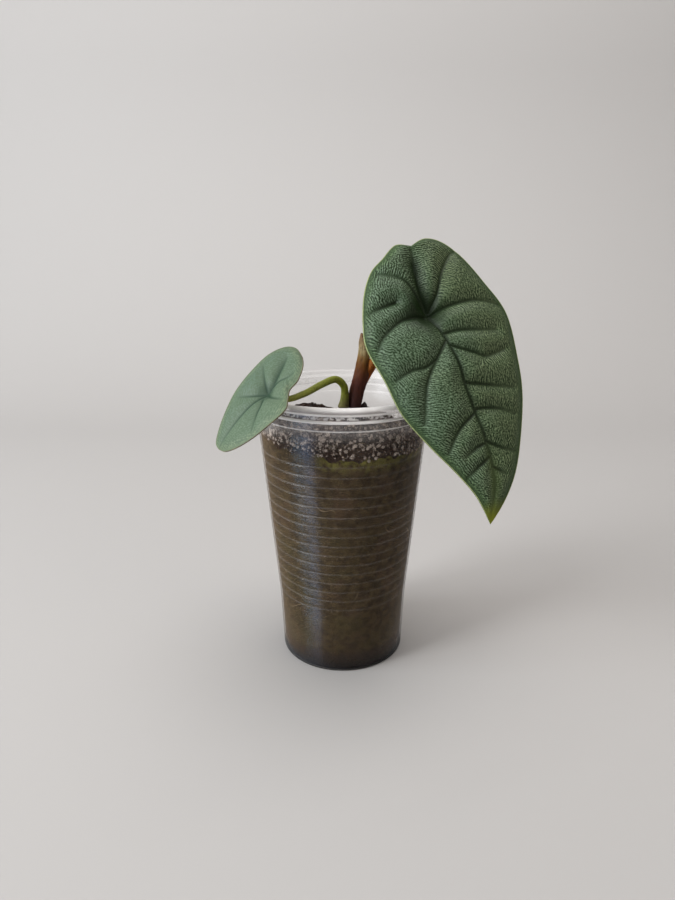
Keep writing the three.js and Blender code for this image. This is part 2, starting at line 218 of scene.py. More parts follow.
def makeMottle():
    # two tones in soft blotches, with small dark flecks over them
    group = bpy.data.node_groups.new("mottle", "ShaderNodeTree")
    for label, kind in (("Vector", "Vector"), ("Blotches", "Float"), ("Flecks", "Float"),
                        ("Fleck Share", "Float"), ("Light", "Color"), ("Dark", "Color")):
        group.interface.new_socket(label, in_out="INPUT", socket_type="NodeSocket" + kind)
    for label, kind in (("Color", "Color"), ("Height", "Float")):
        group.interface.new_socket(label, in_out="OUTPUT", socket_type="NodeSocket" + kind)
    given, result = group.nodes.new("NodeGroupInput"), group.nodes.new("NodeGroupOutput")
    blotch = pattern(group, given.outputs["Vector"], given.outputs["Blotches"])
    fleck = pattern(group, given.outputs["Vector"], given.outputs["Flecks"], detail=2.0)
    tone = ramp(group, blotch, 0.35, 0.65)
    colour = mixColours(group, tone, given.outputs["Dark"], given.outputs["Light"])
    sparse = times(group, ramp(group, fleck, 0.56, 0.68), given.outputs["Fleck Share"], clamp=True)
    colour = mixColours(group, sparse, colour, given.outputs["Dark"], blend="MULTIPLY")
    group.links.new(colour, result.inputs["Color"])
    group.links.new(doMath(group, "ADD", blotch, fleck), result.inputs["Height"])
    return group


mottleGroup = makeMottle()


def addMottle(tree, light, dark, blotches, flecks, share):
    inputs = {"Vector": objectPlace(tree), "Blotches": blotches, "Flecks": flecks,
              "Fleck Share": share, "Light": (*light, 1), "Dark": (*dark, 1)}
    return addNode(tree, "ShaderNodeGroup", inputs, node_tree=mottleGroup)


def mottledMaterial(name, mottle, roughness, gloss=0.5, bump=None):
    # mottle holds the light and dark tone, the scales of blotches and flecks and the flecks' share
    material, tree, shader = newMaterial(name, roughness, Specular_IOR_Level=gloss)
    tone = addMottle(tree, *mottle)
    feed(shader, "Base Color", tone.outputs["Color"])
    if bump:
        bumpInto(tree, shader, tone.outputs["Height"], *bump)
    return material


# shapes

def smoothLine(points, steps):
    # evenly spaced points on a smooth curve through the given ones; flat points get height 0
    knots = [Vector((*p, 0)[:3]) for p in points]
    knots = [knots[0], *knots, knots[-1]]
    fine = []
    for a, b, c, d in zip(knots, knots[1:], knots[2:], knots[3:]):
        for i in range(24):
            t = i / 24
            bend = (2 * a - 5 * b + 4 * c - d) * t ** 2 + (3 * b - a - 3 * c + d) * t ** 3
            fine.append(b + 0.5 * ((c - a) * t + bend))
    fine.append(knots[-1])
    lengths = [0.0]
    for a, b in zip(fine, fine[1:]):
        lengths.append(lengths[-1] + (b - a).length)
    even = []
    k = 0
    for step in range(steps + 1):
        goal = lengths[-1] * step / steps
        while k < len(lengths) - 2 and lengths[k + 1] < goal:
            k += 1
        even.append(fine[k].lerp(fine[k + 1], (goal - lengths[k]) / (lengths[k + 1] - lengths[k])))
    return even


def pointAt(line, t):
    place = min(max(t, 0), 1) * (len(line) - 1)
    k = min(int(place), len(line) - 2)
    return line[k].lerp(line[k + 1], place - k)


def smoothStep(value, low, high):
    t = min(max((value - low) / (high - low), 0), 1)
    return t * t * (3 - 2 * t)


def hump(distance, width):
    # 1 in the middle, and falling softly to 0
    return math.exp(-(distance / width) ** 2)


def towards(angle):
    return Vector((math.cos(angle), math.sin(angle), 0))


def searchTree(points):
    tree = kdtree.KDTree(len(points))
    for index, point in enumerate(points):
        tree.insert(point, index)
    tree.balance()
    return tree


def addPiece(name, bm, materials, nodes=()):
    mesh = bpy.data.meshes.new(name)
    bm.to_mesh(mesh)
    bm.free()
    for material in materials:
        mesh.materials.append(material)
    mesh.shade_smooth()
    piece = bpy.data.objects.new(name, mesh)
    show(piece)
    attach(piece, "root")
    if nodes:
        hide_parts(*nodes)
    return piece


def shapedGrid(rows, columns, placeAt):
    # a grid whose corners go where placeAt(t, share) says, with seams and tips closed
    bm = bmesh.new()
    bmesh.ops.create_grid(bm, x_segments=columns, y_segments=rows, size=1)
    along = bm.verts.layers.float.new("along")
    for vertex in bm.verts:
        share, t = (vertex.co.x + 1) / 2, (vertex.co.y + 1) / 2
        vertex[along] = t
        vertex.co = placeAt(t, share)
    bmesh.ops.remove_doubles(bm, verts=bm.verts, dist=sameSpot)
    return bm


makeCamera()
makeRoom()
print("camera and room are set")

# cup

cup = {
    "height": 118, "wall": 0.7, "floor": 0.5,
    "baseRadius": 26.7, "heelRadius": 1.0, "footHeight": 26,
    "coneRadius": 25.34, "coneSlope": 0.0947,
    "ledgeHeight": 108.2, "ledgeStep": 0.7, "ledgeRise": 0.5,
    "beadHeight": 112.1, "beadDepth": 0.5, "beadHalfWidth": 0.7, "collarFlare": 0.3,
    "lipRadius": 39, "lipRoll": 1.35,
    "ribFirst": 30, "ribLast": 93.9, "ribCount": 16, "ribDepth": 0.1, "ribWidth": 0.3, "bulge": 0.32,
    "steps": 160,
}

plastic = {
    "lowTint": (0.19, 0.12, 0.062), "cloudTint": (0.99, 0.945, 0.92), "footShadeTint": (0.025, 0.019, 0.016),
    "haze": 0.035, "edgeHaze": 0.5, "roughness": 0.22, "ribCloudHighlight": 0.105,
    "lipCloud": 0.75, "lipTopLoss": 0.13, "lipSideLoss": 0.66, "lipSide": (-0.4, 0.48),  # radians
    "greying": 3.0, "cloudDull": 0.5, "footDull": 0.3,
    "heelTop": 1.4, "heelAlpha": 0.6,
    # heights and depths in metres, between which a look comes or goes
    "backFade": (0.005, 0.03), "backCloud": 0.22,
    "greyAbove": (0.1, 0.109), "footShade": (0.0015, 0.007),
    # the band and strength of the painted glints between bead and lip
    "glintStart": (0.1128, 0.1131), "glintEnd": (0.114, 0.1143), "paintedGlints": 0.5,
}


def wallRadius(z):
    return cup["coneRadius"] + cup["coneSlope"] * max(z, cup["footHeight"])


def lipCloud(angle):
    # the rolled lip is white on top, clearer round its outer side and white again at its lower edge
    side, width = plastic["lipSide"]
    top = plastic["lipTopLoss"] * max(0, math.sin(angle))
    return plastic["lipCloud"] - top - plastic["lipSideLoss"] * hump(angle - side, width)


def cupProfile():
    # radius, height and how cloudy the plastic is there
    base, heel, wall, floor = cup["baseRadius"], cup["heelRadius"], cup["wall"], cup["floor"]
    points = [(0, 0, 0)]
    for i in range(7):  # round heel
        angle = math.radians(90 * i / 6)
        points.append((base - heel * (1 - math.sin(angle)), heel * (1 - math.cos(angle)), 0))
    points.append((wallRadius(0), cup["footHeight"], 0))
    pitch = (cup["ribLast"] - cup["ribFirst"]) / (cup["ribCount"] - 1)
    for i in range(12 * cup["ribCount"] + 1):  # the wall bows out a little between narrow ribs
        z = cup["ribFirst"] + pitch * (i / 12 - 0.5)
        away = abs((i / 12) % 1 - 0.5)  # in pitches, from the nearest rib
        groove = hump(away * pitch, cup["ribWidth"])
        bow = cup["bulge"] * (1 - 2 * away) ** 2
        # the grooves are cloudier, and so lighter: a painted highlight for the light their edges catch
        points.append((wallRadius(z) - bow - cup["ribDepth"] * groove, z, plastic["ribCloudHighlight"] * groove))
    ledgeFoot, ledgeTop = cup["ledgeHeight"], cup["ledgeHeight"] + cup["ledgeRise"]
    below = wallRadius(ledgeFoot)
    above = below + cup["ledgeStep"]
    points += [(wallRadius(104), 104, 0), (below, ledgeFoot, 0.1),
               (below + 0.3 * cup["ledgeStep"], ledgeFoot + 0.1, 0.6), (above - 0.1, ledgeFoot + 0.3, 0.7),
               (above, ledgeTop, 0.5), (above, ledgeTop + 0.4, 0.04)]
    middle = above + cup["collarFlare"] / 2
    for i in range(-4, 5):  # the bead under the lip
        swell = cup["beadDepth"] * (1 + math.cos(math.pi * i / 4)) / 2
        z = cup["beadHeight"] + cup["beadHalfWidth"] * i / 4
        points.append((middle + swell, z, 1 - 0.95 * (i / 4) ** 6))
    points += [(middle + 0.02, cup["beadHeight"] + cup["beadHalfWidth"] + 0.15, 0.02),
               (above + 0.26, 114.2, 0.04), (above + 0.3, 114.4, 0.9), (above + 0.3, 115, 0.95)]
    for i in range(15):  # rolled lip
        angle = math.radians(-80 + 260 * i / 14)
        points.append((cup["lipRadius"] - cup["lipRoll"] * (1 - math.cos(angle)),
                       cup["height"] - cup["lipRoll"] * (1 - math.sin(angle)), lipCloud(angle)))
    # back down the inner side
    points += [(above - wall + cup["collarFlare"], 115.2, 0.3), (above - wall + 0.2, 114, 0.02),
               (above - wall, ledgeTop, 0.02), (below - wall, ledgeFoot, 0.1),
               (below - wall, ledgeFoot - 0.4, 0), (wallRadius(0) - wall, cup["footHeight"], 0),
               (base - wall, floor + 0.5, 0), (base - wall - 0.5, floor, 0), (0, floor, 0)]
    return points


def spinRound(bm, verts, steps):
    # joins the corners into one line and turns it round the cup's axis
    edges = [bm.edges.new(pair) for pair in zip(verts, verts[1:])]
    bmesh.ops.spin(bm, geom=verts + edges, cent=(0, 0, 0), axis=(0, 0, 1),
                   angle=math.radians(360), steps=steps, use_merge=True)


def closeUp(bm):
    bmesh.ops.remove_doubles(bm, verts=bm.verts, dist=sameSpot)
    bmesh.ops.recalc_face_normals(bm, faces=bm.faces)
    return bm


def spinProfile(points, steps):
    # the points have a radius and a height in millimetres, and a cloudiness
    bm = bmesh.new()
    cloud = bm.verts.layers.float.new("cloud")
    verts = []
    for radius, z, value in points:
        vertex = bm.verts.new((radius * mm, 0, z * mm))
        vertex[cloud] = value
        verts.append(vertex)
    spinRound(bm, verts, steps)
    return closeUp(bm)


def makeCup():
    gloss = {"IOR": 2.0, "Specular_IOR_Level": 1.0}
    material, tree, shader = newMaterial("clearPlastic", plastic["roughness"], **gloss)
    place = objectPlace(tree)
    spread = addNode(tree, "ShaderNodeSeparateXYZ", {"Vector": place})
    height = spread.outputs["Z"]
    uneven = pattern(tree, place, 110.0, detail=2.0)
    # clearer at the back, where the light comes through the lip
    nearness = ramp(tree, spread.outputs["Y"], *plastic["backFade"], 1, plastic["backCloud"])
    cloud = times(tree, measure(tree, "cloud"), ramp(tree, uneven, 0.25, 0.75, 0.8, 1.15))
    cloud = times(tree, cloud, nearness)
    # low down the brown soil shows in the plastic, and above it the plastic is grey white
    high = ramp(tree, height, *plastic["greyAbove"])
    grey = doMath(tree, "MAXIMUM", times(tree, cloud, plastic["greying"]), high, clamp=True)
    # the foot is painted dark: painted shade in the band at the cup's base
    foot = ramp(tree, height, *plastic["footShade"], 1, 0)
    colour = mixColours(tree, grey, plastic["lowTint"], plastic["cloudTint"])
    feed(shader, "Base Color", mixColours(tree, foot, colour, plastic["footShadeTint"]))
    # painted glints: short white breaks in the dark line between bead and lip
    between = ramp(tree, height, *plastic["glintStart"])
    between = times(tree, between, ramp(tree, height, *plastic["glintEnd"], 1, 0))
    paintedGlints = ramp(tree, pattern(tree, place, 620.0, detail=1.0), 0.5, 0.58, 0, plastic["paintedGlints"])
    cloud = doMath(tree, "ADD", cloud, times(tree, times(tree, paintedGlints, nearness), between))
    # cloudy plastic and the heel are duller
    dull = times(tree, times(tree, cloud, plastic["greying"], clamp=True), plastic["cloudDull"])
    dull = doMath(tree, "MAXIMUM", dull, times(tree, foot, plastic["footDull"]))
    feed(shader, "Roughness", doMath(tree, "ADD", dull, plastic["roughness"]))
    facing = addNode(tree, "ShaderNodeLayerWeight", {"Blend": 0.5}).outputs["Facing"]
    edge = times(tree, doMath(tree, "POWER", facing, 3.5), plastic["edgeHaze"])
    haze = doMath(tree, "ADD", edge, ramp(tree, uneven, 0.3, 0.8, plastic["haze"], 1.8 * plastic["haze"]))
    feed(shader, "Alpha", doMath(tree, "ADD", haze, cloud, clamp=True))
    bumpInto(tree, shader, uneven, 0.05 * mm, 0.12)
    # the heel is a dark, half clear sheet: painted shade under the cup
    heel = newMaterial("heelShadePlastic", 0.6, Specular_IOR_Level=0.05, Alpha=plastic["heelAlpha"],
                       Base_Color=(*plastic["footShadeTint"], 1))[0]
    bm = spinProfile(cupProfile(), cup["steps"])
    for face in bm.faces:
        face.material_index = face.calc_center_median().z < plastic["heelTop"] * mm
    addPiece("clear_cup", bm, [material, heel], ["cup"])


makeCup()
print("cup is turned")

# soil

soil = {
    "wallLevel": 98.6, "slope": 3.4, "highSide": 140,
    "mound": 8.5, "moundRadius": 12,
    "waves": [  # height, length, heading, phase
        (0.45, 7.6, 42, 0.7), (0.45, 7.6, -42, 1.5), (0.63, 11.2, -57, 2), (0.45, 4.6, 41, 1.57),
    ],
    "wallGap": 0.12,
    "clods": [  # x, y, radius, height
        (-7.5, 28, 4.5, -0.9), (-24, 14, 5, 1.4), (12, 24, 5, 0.5), (20, -16, 5, 1.3),
        (-12, -22, 6, 1.2), (27, 6, 4, 1.0), (13, -3, 4, 1.6), (-6, 8, 4, 1.2),
    ],
    "shelf": {"x": -16.2, "y": 24.5, "radius": 8.6, "top": 103.8},
    "rough": 0.38,
    "steps": 200, "rings": 46,
    "sideShares": [0.0, 0.25, 0.5, 0.7, 0.85, 0.9, 0.93, 0.96, 1.0],  # of the way up the side
    "algaeFrom": 91.4, "algaeSide": (-103, 10),  # a height, and degrees round the cup
}

wetSoil = {
    "mottle": ((0.068, 0.046, 0.02), (0.034, 0.0225, 0.0105), 330.0, 1500.0, 0.85),
    "reddish": (0.07, 0.036, 0.02), "reddishShare": 0.4,
    "grit": (0.2, 0.15, 0.09), "gritShare": 0.6,
    "film": (0.056, 0.05, 0.016), "filmShare": 0.35, "filmTop": (0.06, 0.085),  # metres
    "topShade": (0.026, 0.014, 0.012), "topShadeShare": 0.92,
    "algae": (0.165, 0.15, 0.036),
    "darkFoot": (0.018, 0.012, 0.011), "darkFootShare": 0.85, "darkFootTop": (0.006, 0.011),
}

corm = {  # the soil is heaped round it
    "x": 4.2, "y": 0.2, "radius": 6.4, "top": 108.4, "depth": 21, "scars": 4,
    "stubs": [  # x, y, z, height, half width, lean
        (8.6, 0.6, 108.2, 6.0, 1.5, 16), (10.4, 0.6, 107.3, 3.6, 2, 40),
        (8.6, -2.4, 107.2, 3, 1.6, 20), (0.6, 3.4, 107.2, 3.4, 1.5, -16),
    ],
    "mottle": ((0.05, 0.022, 0.018), (0.012, 0.008, 0.008), 500.0, 1600.0, 0.6),
}


def innerRadius(z):
    return wallRadius(z) - cup["wall"]


def soilRadius(z):
    # along the cup's cone, and below that along its foot
    knee, foot = cup["floor"] + 0.5, cup["baseRadius"] - cup["wall"]
    lean = min((z - knee) / (cup["footHeight"] - knee), 1)
    return foot + (innerRadius(z) - foot) * lean - soil["wallGap"]


def soilEdge(angle):
    return soil["wallLevel"] + soil["slope"] * math.cos(angle - math.radians(soil["highSide"]))


def soilHeight(x, y):
    reach = min(math.hypot(x, y) / innerRadius(soil["wallLevel"]), 1)
    height = soil["wallLevel"] + reach * (soilEdge(math.atan2(y, x)) - soil["wallLevel"])
    height += soil["mound"] * hump(math.hypot(x - corm["x"], y - corm["y"]), soil["moundRadius"])
    for swell, length, heading, phase in soil["waves"]:
        heading = math.radians(heading)
        distance = x * math.cos(heading) + y * math.sin(heading)
        height += swell * math.sin(math.tau * distance / length + phase)
    for clodX, clodY, radius, rise in soil["clods"]:
        away = math.hypot(x - clodX, y - clodY) / radius
        height += rise * smoothStep(1 - away, 0, 0.6)
    shelf = soil["shelf"]
    away = math.hypot(x - shelf["x"], y - shelf["y"]) / shelf["radius"]
    return height + (shelf["top"] - height) * smoothStep(1 - away, 0, 0.4)


def looseHeight(x, y):
    # the heaped surface with its coarse and fine grain
    coarse = noise.noise(Vector((x, y, 0)) * 0.42)
    fine = noise.noise(Vector((x, y, 5)) * 1.3)
    lump = 1 - abs(noise.noise(Vector((x, y, 9)) * 0.75)) * 2
    return soilHeight(x, y) + soil["rough"] * (0.8 * coarse + 0.35 * fine + 0.45 * lump)


def makeSoilMaterial():
    material, tree, shader = newMaterial("wetSoil", 0.85, Specular_IOR_Level=0.06)
    place = objectPlace(tree)
    height = addNode(tree, "ShaderNodeSeparateXYZ", {"Vector": place}).outputs["Z"]
    ground = addMottle(tree, *wetSoil["mottle"])
    grain = pattern(tree, place, 1500.0, detail=2.0)
    reddish = ramp(tree, pattern(tree, place, 110.0), 0.5, 0.68, 0, wetSoil["reddishShare"])
    colour = mixColours(tree, reddish, ground.outputs["Color"], wetSoil["reddish"])
    colour = mixColours(tree, ramp(tree, grain, 0.62, 0.72, 0, wetSoil["gritShare"]), colour, wetSoil["grit"])
    patches = pattern(tree, place, 70.0, detail=4.0, roughness=0.6)
    film = ramp(tree, patches, 0.42, 0.68, 0, wetSoil["filmShare"])
    film = times(tree, film, ramp(tree, height, *wetSoil["filmTop"], 1, 0))
    # the open top is painted darker: painted shade inside the cup
    onTop = ramp(tree, measure(tree, "side"), 0.0, 0.9, wetSoil["topShadeShare"], 0)
    broken = ramp(tree, pattern(tree, place, 420.0), 0.3, 0.62)
    algae = times(tree, measure(tree, "algae"), broken, clamp=True)
    # the soil is darker towards the bottom of the cup
    darkFoot = ramp(tree, height, *wetSoil["darkFootTop"], wetSoil["darkFootShare"], 0)
    # patches of olive film low down, the open top painted darker as painted shade inside the cup, the algae
    # at its edge, and a darker foot
    for mask, tint in ((film, "film"), (onTop, "topShade"), (algae, "algae"), (darkFoot, "darkFoot")):
        colour = mixColours(tree, mask, colour, wetSoil[tint])
    feed(shader, "Base Color", colour)
    feed(shader, "Roughness", ramp(tree, grain, 0.3, 0.7, 0.6, 0.95))
    bumpInto(tree, shader, doMath(tree, "ADD", ground.outputs["Height"], grain), 0.5 * mm, 0.8)
    return material


def makeSoil():
    knee, floorTop = cup["floor"] + 0.5, cup["floor"] + 0.1
    # rows from the middle of the floor, up the side and over the top back to the middle
    rows = [("floor", 0), ("floor", cup["baseRadius"] - cup["wall"] - 0.8)]
    rows += [("side", share) for share in soil["sideShares"]]
    rows += [("top", ring / soil["rings"]) for ring in range(soil["rings"] - 1, -1, -1)]
    bm = bmesh.new()
    numbers = bm.verts.layers.float.new("row")
    verts = []
    for number in range(len(rows)):
        vertex = bm.verts.new((1 + number, 0, 0))
        vertex[numbers] = number
        verts.append(vertex)
    spinRound(bm, verts, soil["steps"])
    algae, side = (bm.verts.layers.float.new(name) for name in ("algae", "side"))
    start, end = (math.radians(a) for a in soil["algaeSide"])
    for vertex in bm.verts:
        angle = math.atan2(vertex.co.y, vertex.co.x)
        kind, share = rows[round(vertex[numbers])]
        direction = towards(angle)
        edge = looseHeight(*(direction * innerRadius(soilEdge(angle))).xy)
        if kind == "floor":
            radius, z = share, floorTop
        elif kind == "side":
            z = knee + (edge - knee) * share
            radius = soilRadius(z)
        else:
            radius = share * (innerRadius(edge) - soil["wallGap"])
            z = looseHeight(*(direction * radius).xy)
        vertex.co = (direction * radius + Vector((0, 0, z))) * mm
        vertex[side] = kind != "top"
        inBand = smoothStep(z, soil["algaeFrom"], soil["algaeFrom"] + 3)
        around = smoothStep(angle, start - 0.15, start + 0.15) * (1 - smoothStep(angle, end - 0.3, end + 0.3))
        vertex[algae] = inBand * around * vertex[side]
    return closeUp(bm)


addPiece("potting_soil", makeSoil(), [makeSoilMaterial()], ["soil"])
print("soil is filled in")

crumbs = {
    "count": 1500, "edgeGap": 1.4, "smallest": 0.3, "spread": 0.9, "squash": 0.75,
    "mottle": ((0.05, 0.029, 0.018), (0.013, 0.008, 0.006), 240.0, 1400.0, 0.6),
}

fibres = {
    "lying": 34, "edgeGap": 5, "length": (2.5, 6), "bend": 2, "thick": 0.15,
    "wallRoots": 44, "rootHeights": (12, 88), "sweep": 0.28, "rise": 9, "rootThick": (0.13, 0.25),
    "mottle": ((0.24, 0.17, 0.1), (0.11, 0.075, 0.042), 400.0, 1500.0, 0.4),
}


def scatterOnSoil(count, reach, seed):
    draw = random.Random(seed)
    for _ in range(count):
        radius = reach * math.sqrt(draw.random())
        angle = draw.uniform(0, math.tau)
        x, y = radius * math.cos(angle), radius * math.sin(angle)
        if math.hypot(x - corm["x"], y - corm["y"]) > corm["radius"] + 0.4:
            yield draw, x, y, looseHeight(x, y)


def makeFlock(count, subdivisions):
    # many small balls, doubled up from one, and the corners of each
    bm = bmesh.new()
    bm.verts.layers.float.new("size")
    bmesh.ops.create_icosphere(bm, subdivisions=subdivisions, radius=1)
    size = len(bm.verts)
    while len(bm.verts) < size * count:
        bmesh.ops.duplicate(bm, geom=bm.verts[:] + bm.edges[:] + bm.faces[:])
    bmesh.ops.delete(bm, geom=bm.verts[size * count:], context="VERTS")
    corners = bm.verts[:]
    return bm, [corners[start:start + size] for start in range(0, size * count, size)]


def makeCrumbs():
    material = mottledMaterial("soilCrumb", crumbs["mottle"], 0.9, 0.3, (0.3 * mm, 0.7))
    places = list(scatterOnSoil(crumbs["count"], innerRadius(soil["wallLevel"]) - crumbs["edgeGap"], 11))
    bm, balls = makeFlock(len(places), 1)
    for ball, (draw, x, y, z) in zip(balls, places):
        size = crumbs["smallest"] + crumbs["spread"] * draw.random() ** 3
        stretch = Vector((draw.uniform(0.7, 1.3), draw.uniform(0.7, 1.3), crumbs["squash"])) * size
        for vertex in ball:
            point = vertex.co * stretch * draw.uniform(0.72, 1.2)
            vertex.co = (point + Vector((x, y, z + 0.25 * size))) * mm
    addPiece("soil_crumbs", bm, [material])


def addStrand(bm, rows, thick, placeAt):
    # a thin strand with pointed ends, whose middle line is placeAt(t) and whose sides it also gives
    made = bmesh.ops.create_grid(bm, x_segments=6, y_segments=rows, size=1)["verts"]
    for vertex in made:
        turn, t = math.pi * (vertex.co.x + 1), (vertex.co.y + 1) / 2
        middle, aside, upward = placeAt(t)
        radius = thick * math.sqrt(max(0, math.sin(math.pi * t)))
        vertex.co = (middle + (aside * math.cos(turn) + upward * math.sin(turn)) * radius) * mm
    bmesh.ops.remove_doubles(bm, verts=made, dist=sameSpot)


def makeFibres():
    # bits of root and straw lying on the soil, and fine roots against the wall
    material = mottledMaterial("dryFibre", fibres["mottle"], 0.8, 0.2)
    bm = bmesh.new()
    reach = innerRadius(soil["wallLevel"]) - fibres["edgeGap"]
    for draw, x, y, _ in scatterOnSoil(fibres["lying"], reach, 23):
        heading = draw.uniform(0, math.tau)
        length = draw.uniform(*fibres["length"])
        bend = draw.uniform(-fibres["bend"], fibres["bend"])
        ahead = towards(heading)
        aside = Vector((-ahead.y, ahead.x, 0))

        def lying(t):
            spot = Vector((x, y, 0)) + ahead * length * (t - 0.5) + aside * bend * (t - 0.5) ** 2
            return spot + Vector((0, 0, looseHeight(spot.x, spot.y) + 0.2)), aside, Vector((0, 0, 1))

        addStrand(bm, 10, fibres["thick"], lying)
    draw = random.Random(31)
    for _ in range(fibres["wallRoots"]):
        angle = draw.uniform(0, math.tau)
        low = draw.uniform(*fibres["rootHeights"])
        sweep = draw.uniform(-fibres["sweep"], fibres["sweep"])
        rise = draw.uniform(-fibres["rise"], fibres["rise"])
        wave = draw.uniform(3, 7)

        def climbing(t):
            heading = angle + sweep * t + 0.02 * math.sin(wave * t)
            z = low + rise * t + 0.7 * math.sin(wave * 1.3 * t)
            outward = towards(heading)
            beside = Vector((-outward.y * abs(rise), outward.x * abs(rise), 27 * abs(sweep)))
            return outward * soilRadius(z) + Vector((0, 0, z)), outward * 0.5, beside.normalized()

        addStrand(bm, 14, draw.uniform(*fibres["rootThick"]), climbing)
    bmesh.ops.recalc_face_normals(bm, faces=bm.faces)
    addPiece("soil_fibres", bm, [material])


makeCrumbs()
makeFibres()
print("crumbs and fibres lie on the soil")

# condensation inside the cup's upper wall

mist = {
    "drops": 1700, "high": 113.2, "smallest": 0.22, "largest": 0.74, "flat": 0.35, "runners": 14,
    "halfWay": 1.45, "thinning": 0.65,  # radians round the cup
    "tones": ((0.5, 0.4, 0.34), (0.76, 0.66, 0.58)),
    "sizes": (0.22, 0.55), "strength": (0.17, 0.4),  # the larger a drop, the more it shows
}


def makeDrops():
    material, tree, shader = newMaterial("waterDrop", 0.45, Specular_IOR_Level=0.3)
    place = objectPlace(tree)
    tone = mixColours(tree, pattern(tree, place, 700.0), *mist["tones"])
    feed(shader, "Base Color", tone)
    faint = ramp(tree, pattern(tree, place, 300.0), 0.35, 0.65, 0.5, 1)
    strength = ramp(tree, measure(tree, "size"), *mist["sizes"], *mist["strength"])
    feed(shader, "Alpha", times(tree, faint, strength))
    draw = random.Random(5)
    bm, balls = makeFlock(mist["drops"], 2)
    sizes = bm.verts.layers.float["size"]
    for order, ball in enumerate(balls):
        across = draw.uniform(-1, 1)  # thinning out towards the back, which is clear
        angle = math.radians(-90) + mist["halfWay"] * across + mist["thinning"] * across ** 3
        edge = soilEdge(angle) + 0.4
        z = edge + (mist["high"] - edge) * draw.random() ** 0.85
        size = mist["smallest"] + (mist["largest"] - mist["smallest"]) * draw.random() ** 3.2
        tall = draw.uniform(2.0, 3.2) if order < mist["runners"] else draw.uniform(0.9, 1.15)
        collar = cup["ledgeStep"] * smoothStep(z, cup["ledgeHeight"], cup["ledgeHeight"] + cup["ledgeRise"])
        radius = innerRadius(z) + collar - 0.2 * size
        # flat against the wall, and taller where it has run down
        turn = Matrix.Rotation(angle, 3, "Z")
        for vertex in ball:
            vertex[sizes] = size
            point = vertex.co * Vector((mist["flat"], 1, tall)) * size
            vertex.co = (turn @ (point + Vector((radius, 0, 0))) + Vector((0, 0, z))) * mm
    addPiece("condensation", bm, [material])


makeDrops()
print("condensation is on the wall")

# corm and stalks

petiole = {
    "route": [(5.4, 0.4, 108.8), (5.7, 0.3, 113), (7.7, -0.1, 118.8), (11.5, -2.2, 126.5),
              (17.4, -7.2, 137.2), (24.4, -14.6, 145.2), (30.6, -21.3, 148)],
    "foot": 2.6, "radius": 2.15, "end": 1.5, "rows": 130, "around": 28,
    "skin": [(0.0, (0.03, 0.012, 0.011)), (0.1, (0.045, 0.015, 0.012)), (0.18, (0.1, 0.026, 0.012)),
             (0.28, (0.3, 0.066, 0.005)), (0.45, (0.22, 0.085, 0.014)), (1.0, (0.12, 0.13, 0.045))],
    "flecks": 0.4, "roughness": 0.5,
}

youngPetiole = {
    "route": [(0.1, -1.9, 108.8), (0.8, -2.1, 113.2), (0.5, -3.4, 118.7), (-2.9, -6.2, 122.1),
              (-8.4, -12.4, 121.3), (-14.2, -21.4, 119.9), (-20.4, -31.4, 119.9), (-26.4, -35, 122)],
    "foot": 2.6, "radius": 1.6, "end": 1.1, "rows": 150, "around": 20,
    "skin": [(0.0, (0.1, 0.08, 0.034)), (0.07, (0.165, 0.155, 0.042)), (0.16, (0.205, 0.225, 0.02)),
             (0.5, (0.235, 0.255, 0.045)), (1.0, (0.2, 0.2, 0.04))],
    "flecks": 0.5, "roughness": 0.5,
}

sheath = {
    "route": [(5.3, 0.4, 108.8), (6.3, -0.1, 116), (7.6, -0.8, 122), (8.5, -1.2, 127), (8.9, -0.9, 132.5),
              (8.1, 0.3, 139.5)],
    "foot": 2.6, "tip": 0.2, "wall": 0.5,
    "wrap": 236, "middleLow": 184, "middleHigh": 236, "wrapTaper": 5, "radiusTaper": 3.2,
    "rows": 90, "columns": 48,
    "skin": [(0.0, (0.042, 0.017, 0.015)), (0.14, (0.066, 0.023, 0.017)), (0.26, (0.084, 0.026, 0.016)),
             (0.36, (0.09, 0.026, 0.016)), (0.52, (0.1, 0.031, 0.008)), (0.62, (0.12, 0.044, 0.006)),
             (0.7, (0.165, 0.087, 0.025)), (0.8, (0.25, 0.19, 0.09)), (1.0, (0.14, 0.07, 0.035))],
    "flecks": 0.45, "roughness": 0.55,
}


def stalkShape(settings):
    # a round stalk along its route, closed and rounded at both ends
    line = smoothLine(settings["route"], 400)

    def placeAt(t, share):
        centre = pointAt(line, t)
        forward = (pointAt(line, t + 0.01) - pointAt(line, t - 0.01)).normalized()
        aside = forward.cross(Vector((0.35, 1, 0.2))).normalized()
        upward = aside.cross(forward)
        radius = settings["radius"] + (settings["end"] - settings["radius"]) * t
        radius += (settings["foot"] - settings["radius"]) * max(0, 1 - t / 0.16) ** 2
        closing = min(t, 1 - t) * (settings["rows"] / 3)
        radius *= math.sqrt(1 - (1 - min(closing, 1)) ** 2)
        angle = share * math.tau
        radius *= 1 + 0.03 * math.sin(5 * angle + 9 * t) + 0.02 * noise.noise(centre * 0.6)
        return (centre + (aside * math.cos(angle) + upward * math.sin(angle)) * radius) * mm

    bm = shapedGrid(settings["rows"], settings["around"], placeAt)
    bmesh.ops.recalc_face_normals(bm, faces=bm.faces)
    return bm


def sheathShape():
    line = smoothLine(sheath["route"], 400)

    def placeAt(t, across):
        wrap = math.radians(sheath["wrap"]) * (1 - t ** sheath["wrapTaper"])
        middle = sheath["middleLow"] + (sheath["middleHigh"] - sheath["middleLow"]) * t
        angle = math.radians(middle) + (0.5 - across) * wrap
        outward = towards(angle)
        radius = sheath["foot"] + (sheath["tip"] - sheath["foot"]) * t ** sheath["radiusTaper"]
        ripple = 0.1 * math.sin(26 * across + 3 * t) * t + 0.12 * noise.noise(Vector((across * 9, t * 14, 3)))
        return (pointAt(line, t) + outward * (radius + sheath["wall"] + ripple)) * mm

    return shapedGrid(sheath["rows"], sheath["columns"], placeAt)


